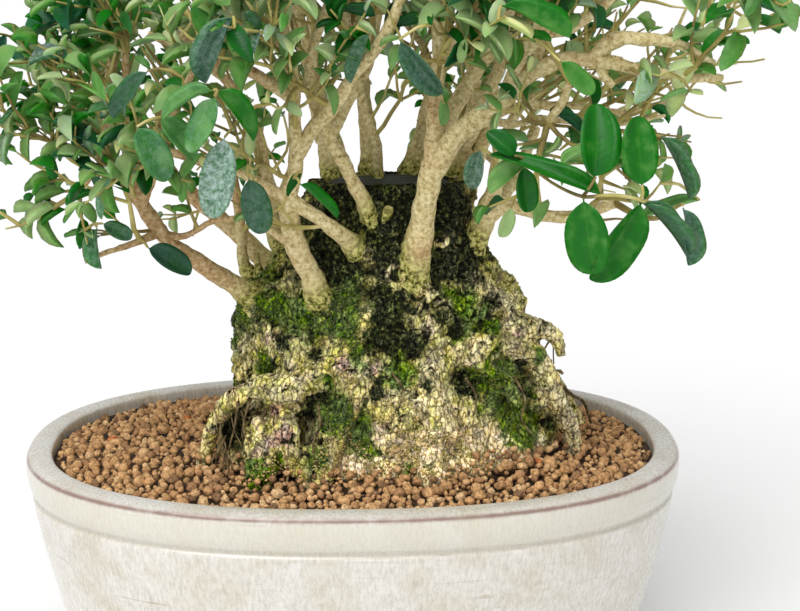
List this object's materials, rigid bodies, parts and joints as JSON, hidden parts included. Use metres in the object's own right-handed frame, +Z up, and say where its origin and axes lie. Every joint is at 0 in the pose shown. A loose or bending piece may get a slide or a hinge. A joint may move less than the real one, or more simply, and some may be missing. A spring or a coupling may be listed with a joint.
{
  "type": "olive bonsai tree",
  "caption": "Old olive bonsai: a broad mossy stump with spreading surface roots and leafy shoots, planted in a deep oval cream-glazed pot.",
  "frame": {"origin": "on the standing surface, under the middle of the oval pot", "axes": "+Z up along the tree, +X along the pot's long side to the right of the front, +Y to the back"},
  "size_m": [0.4331, 0.3547, 0.5233],
  "materials": {
    "glaze": "cream glossy glaze that breaks to mauve brown on the rim",
    "bark": "rough corky olive bark, tan on the branches, dark and mossy on the stump",
    "leaf": "leathery dark green leaves with a waxy gloss and grey-green undersides",
    "moss": "short velvety moss",
    "akadama": "dry baked clay granules",
    "pumice": "coarse pale pumice grains",
    "paste": "dried grey sealing paste",
    "plastic": "moulded black mesh",
    "wire": "soft annealed wire"
  },
  "bodies": {
    "root": {"pot": "glaze", "trunk": "bark", "cut_paste": "paste", "moss_left_shoulder": "moss", "moss_front": "moss", "moss_foot": "moss", "moss_right": "moss", "moss_back": "moss", "drain_mesh_left": "plastic", "mesh_clip_left": "wire", "drain_mesh_right": "plastic", "mesh_clip_right": "wire", "drainage_layer": "pumice", "akadama_soil": "akadama", "leafy_shoot_01": "leaf", "leafy_shoot_02": "leaf", "leafy_shoot_03": "leaf", "leafy_shoot_04": "leaf", "leafy_shoot_05": "leaf", "leafy_shoot_06": "leaf", "leafy_shoot_07": "leaf", "leafy_shoot_08": "leaf", "leafy_shoot_09": "leaf", "leafy_shoot_10": "leaf", "leafy_shoot_11": "leaf", "leafy_shoot_12": "leaf", "leafy_shoot_13": "leaf", "leafy_shoot_14": "leaf", "leafy_shoot_15": "leaf", "leafy_shoot_16": "leaf", "leafy_shoot_17": "leaf", "leafy_shoot_18": "leaf", "leafy_shoot_19": "leaf", "leafy_shoot_20": "leaf", "leafy_shoot_21": "leaf", "leafy_shoot_22": "leaf", "leafy_shoot_23": "leaf", "leafy_shoot_24": "leaf", "leafy_shoot_25": "leaf", "leafy_shoot_26": "leaf", "leafy_shoot_27": "leaf", "leafy_shoot_28": "leaf", "leafy_shoot_29": "leaf", "leafy_shoot_30": "leaf", "leafy_shoot_31": "leaf"}
  },
  "joints": []
}
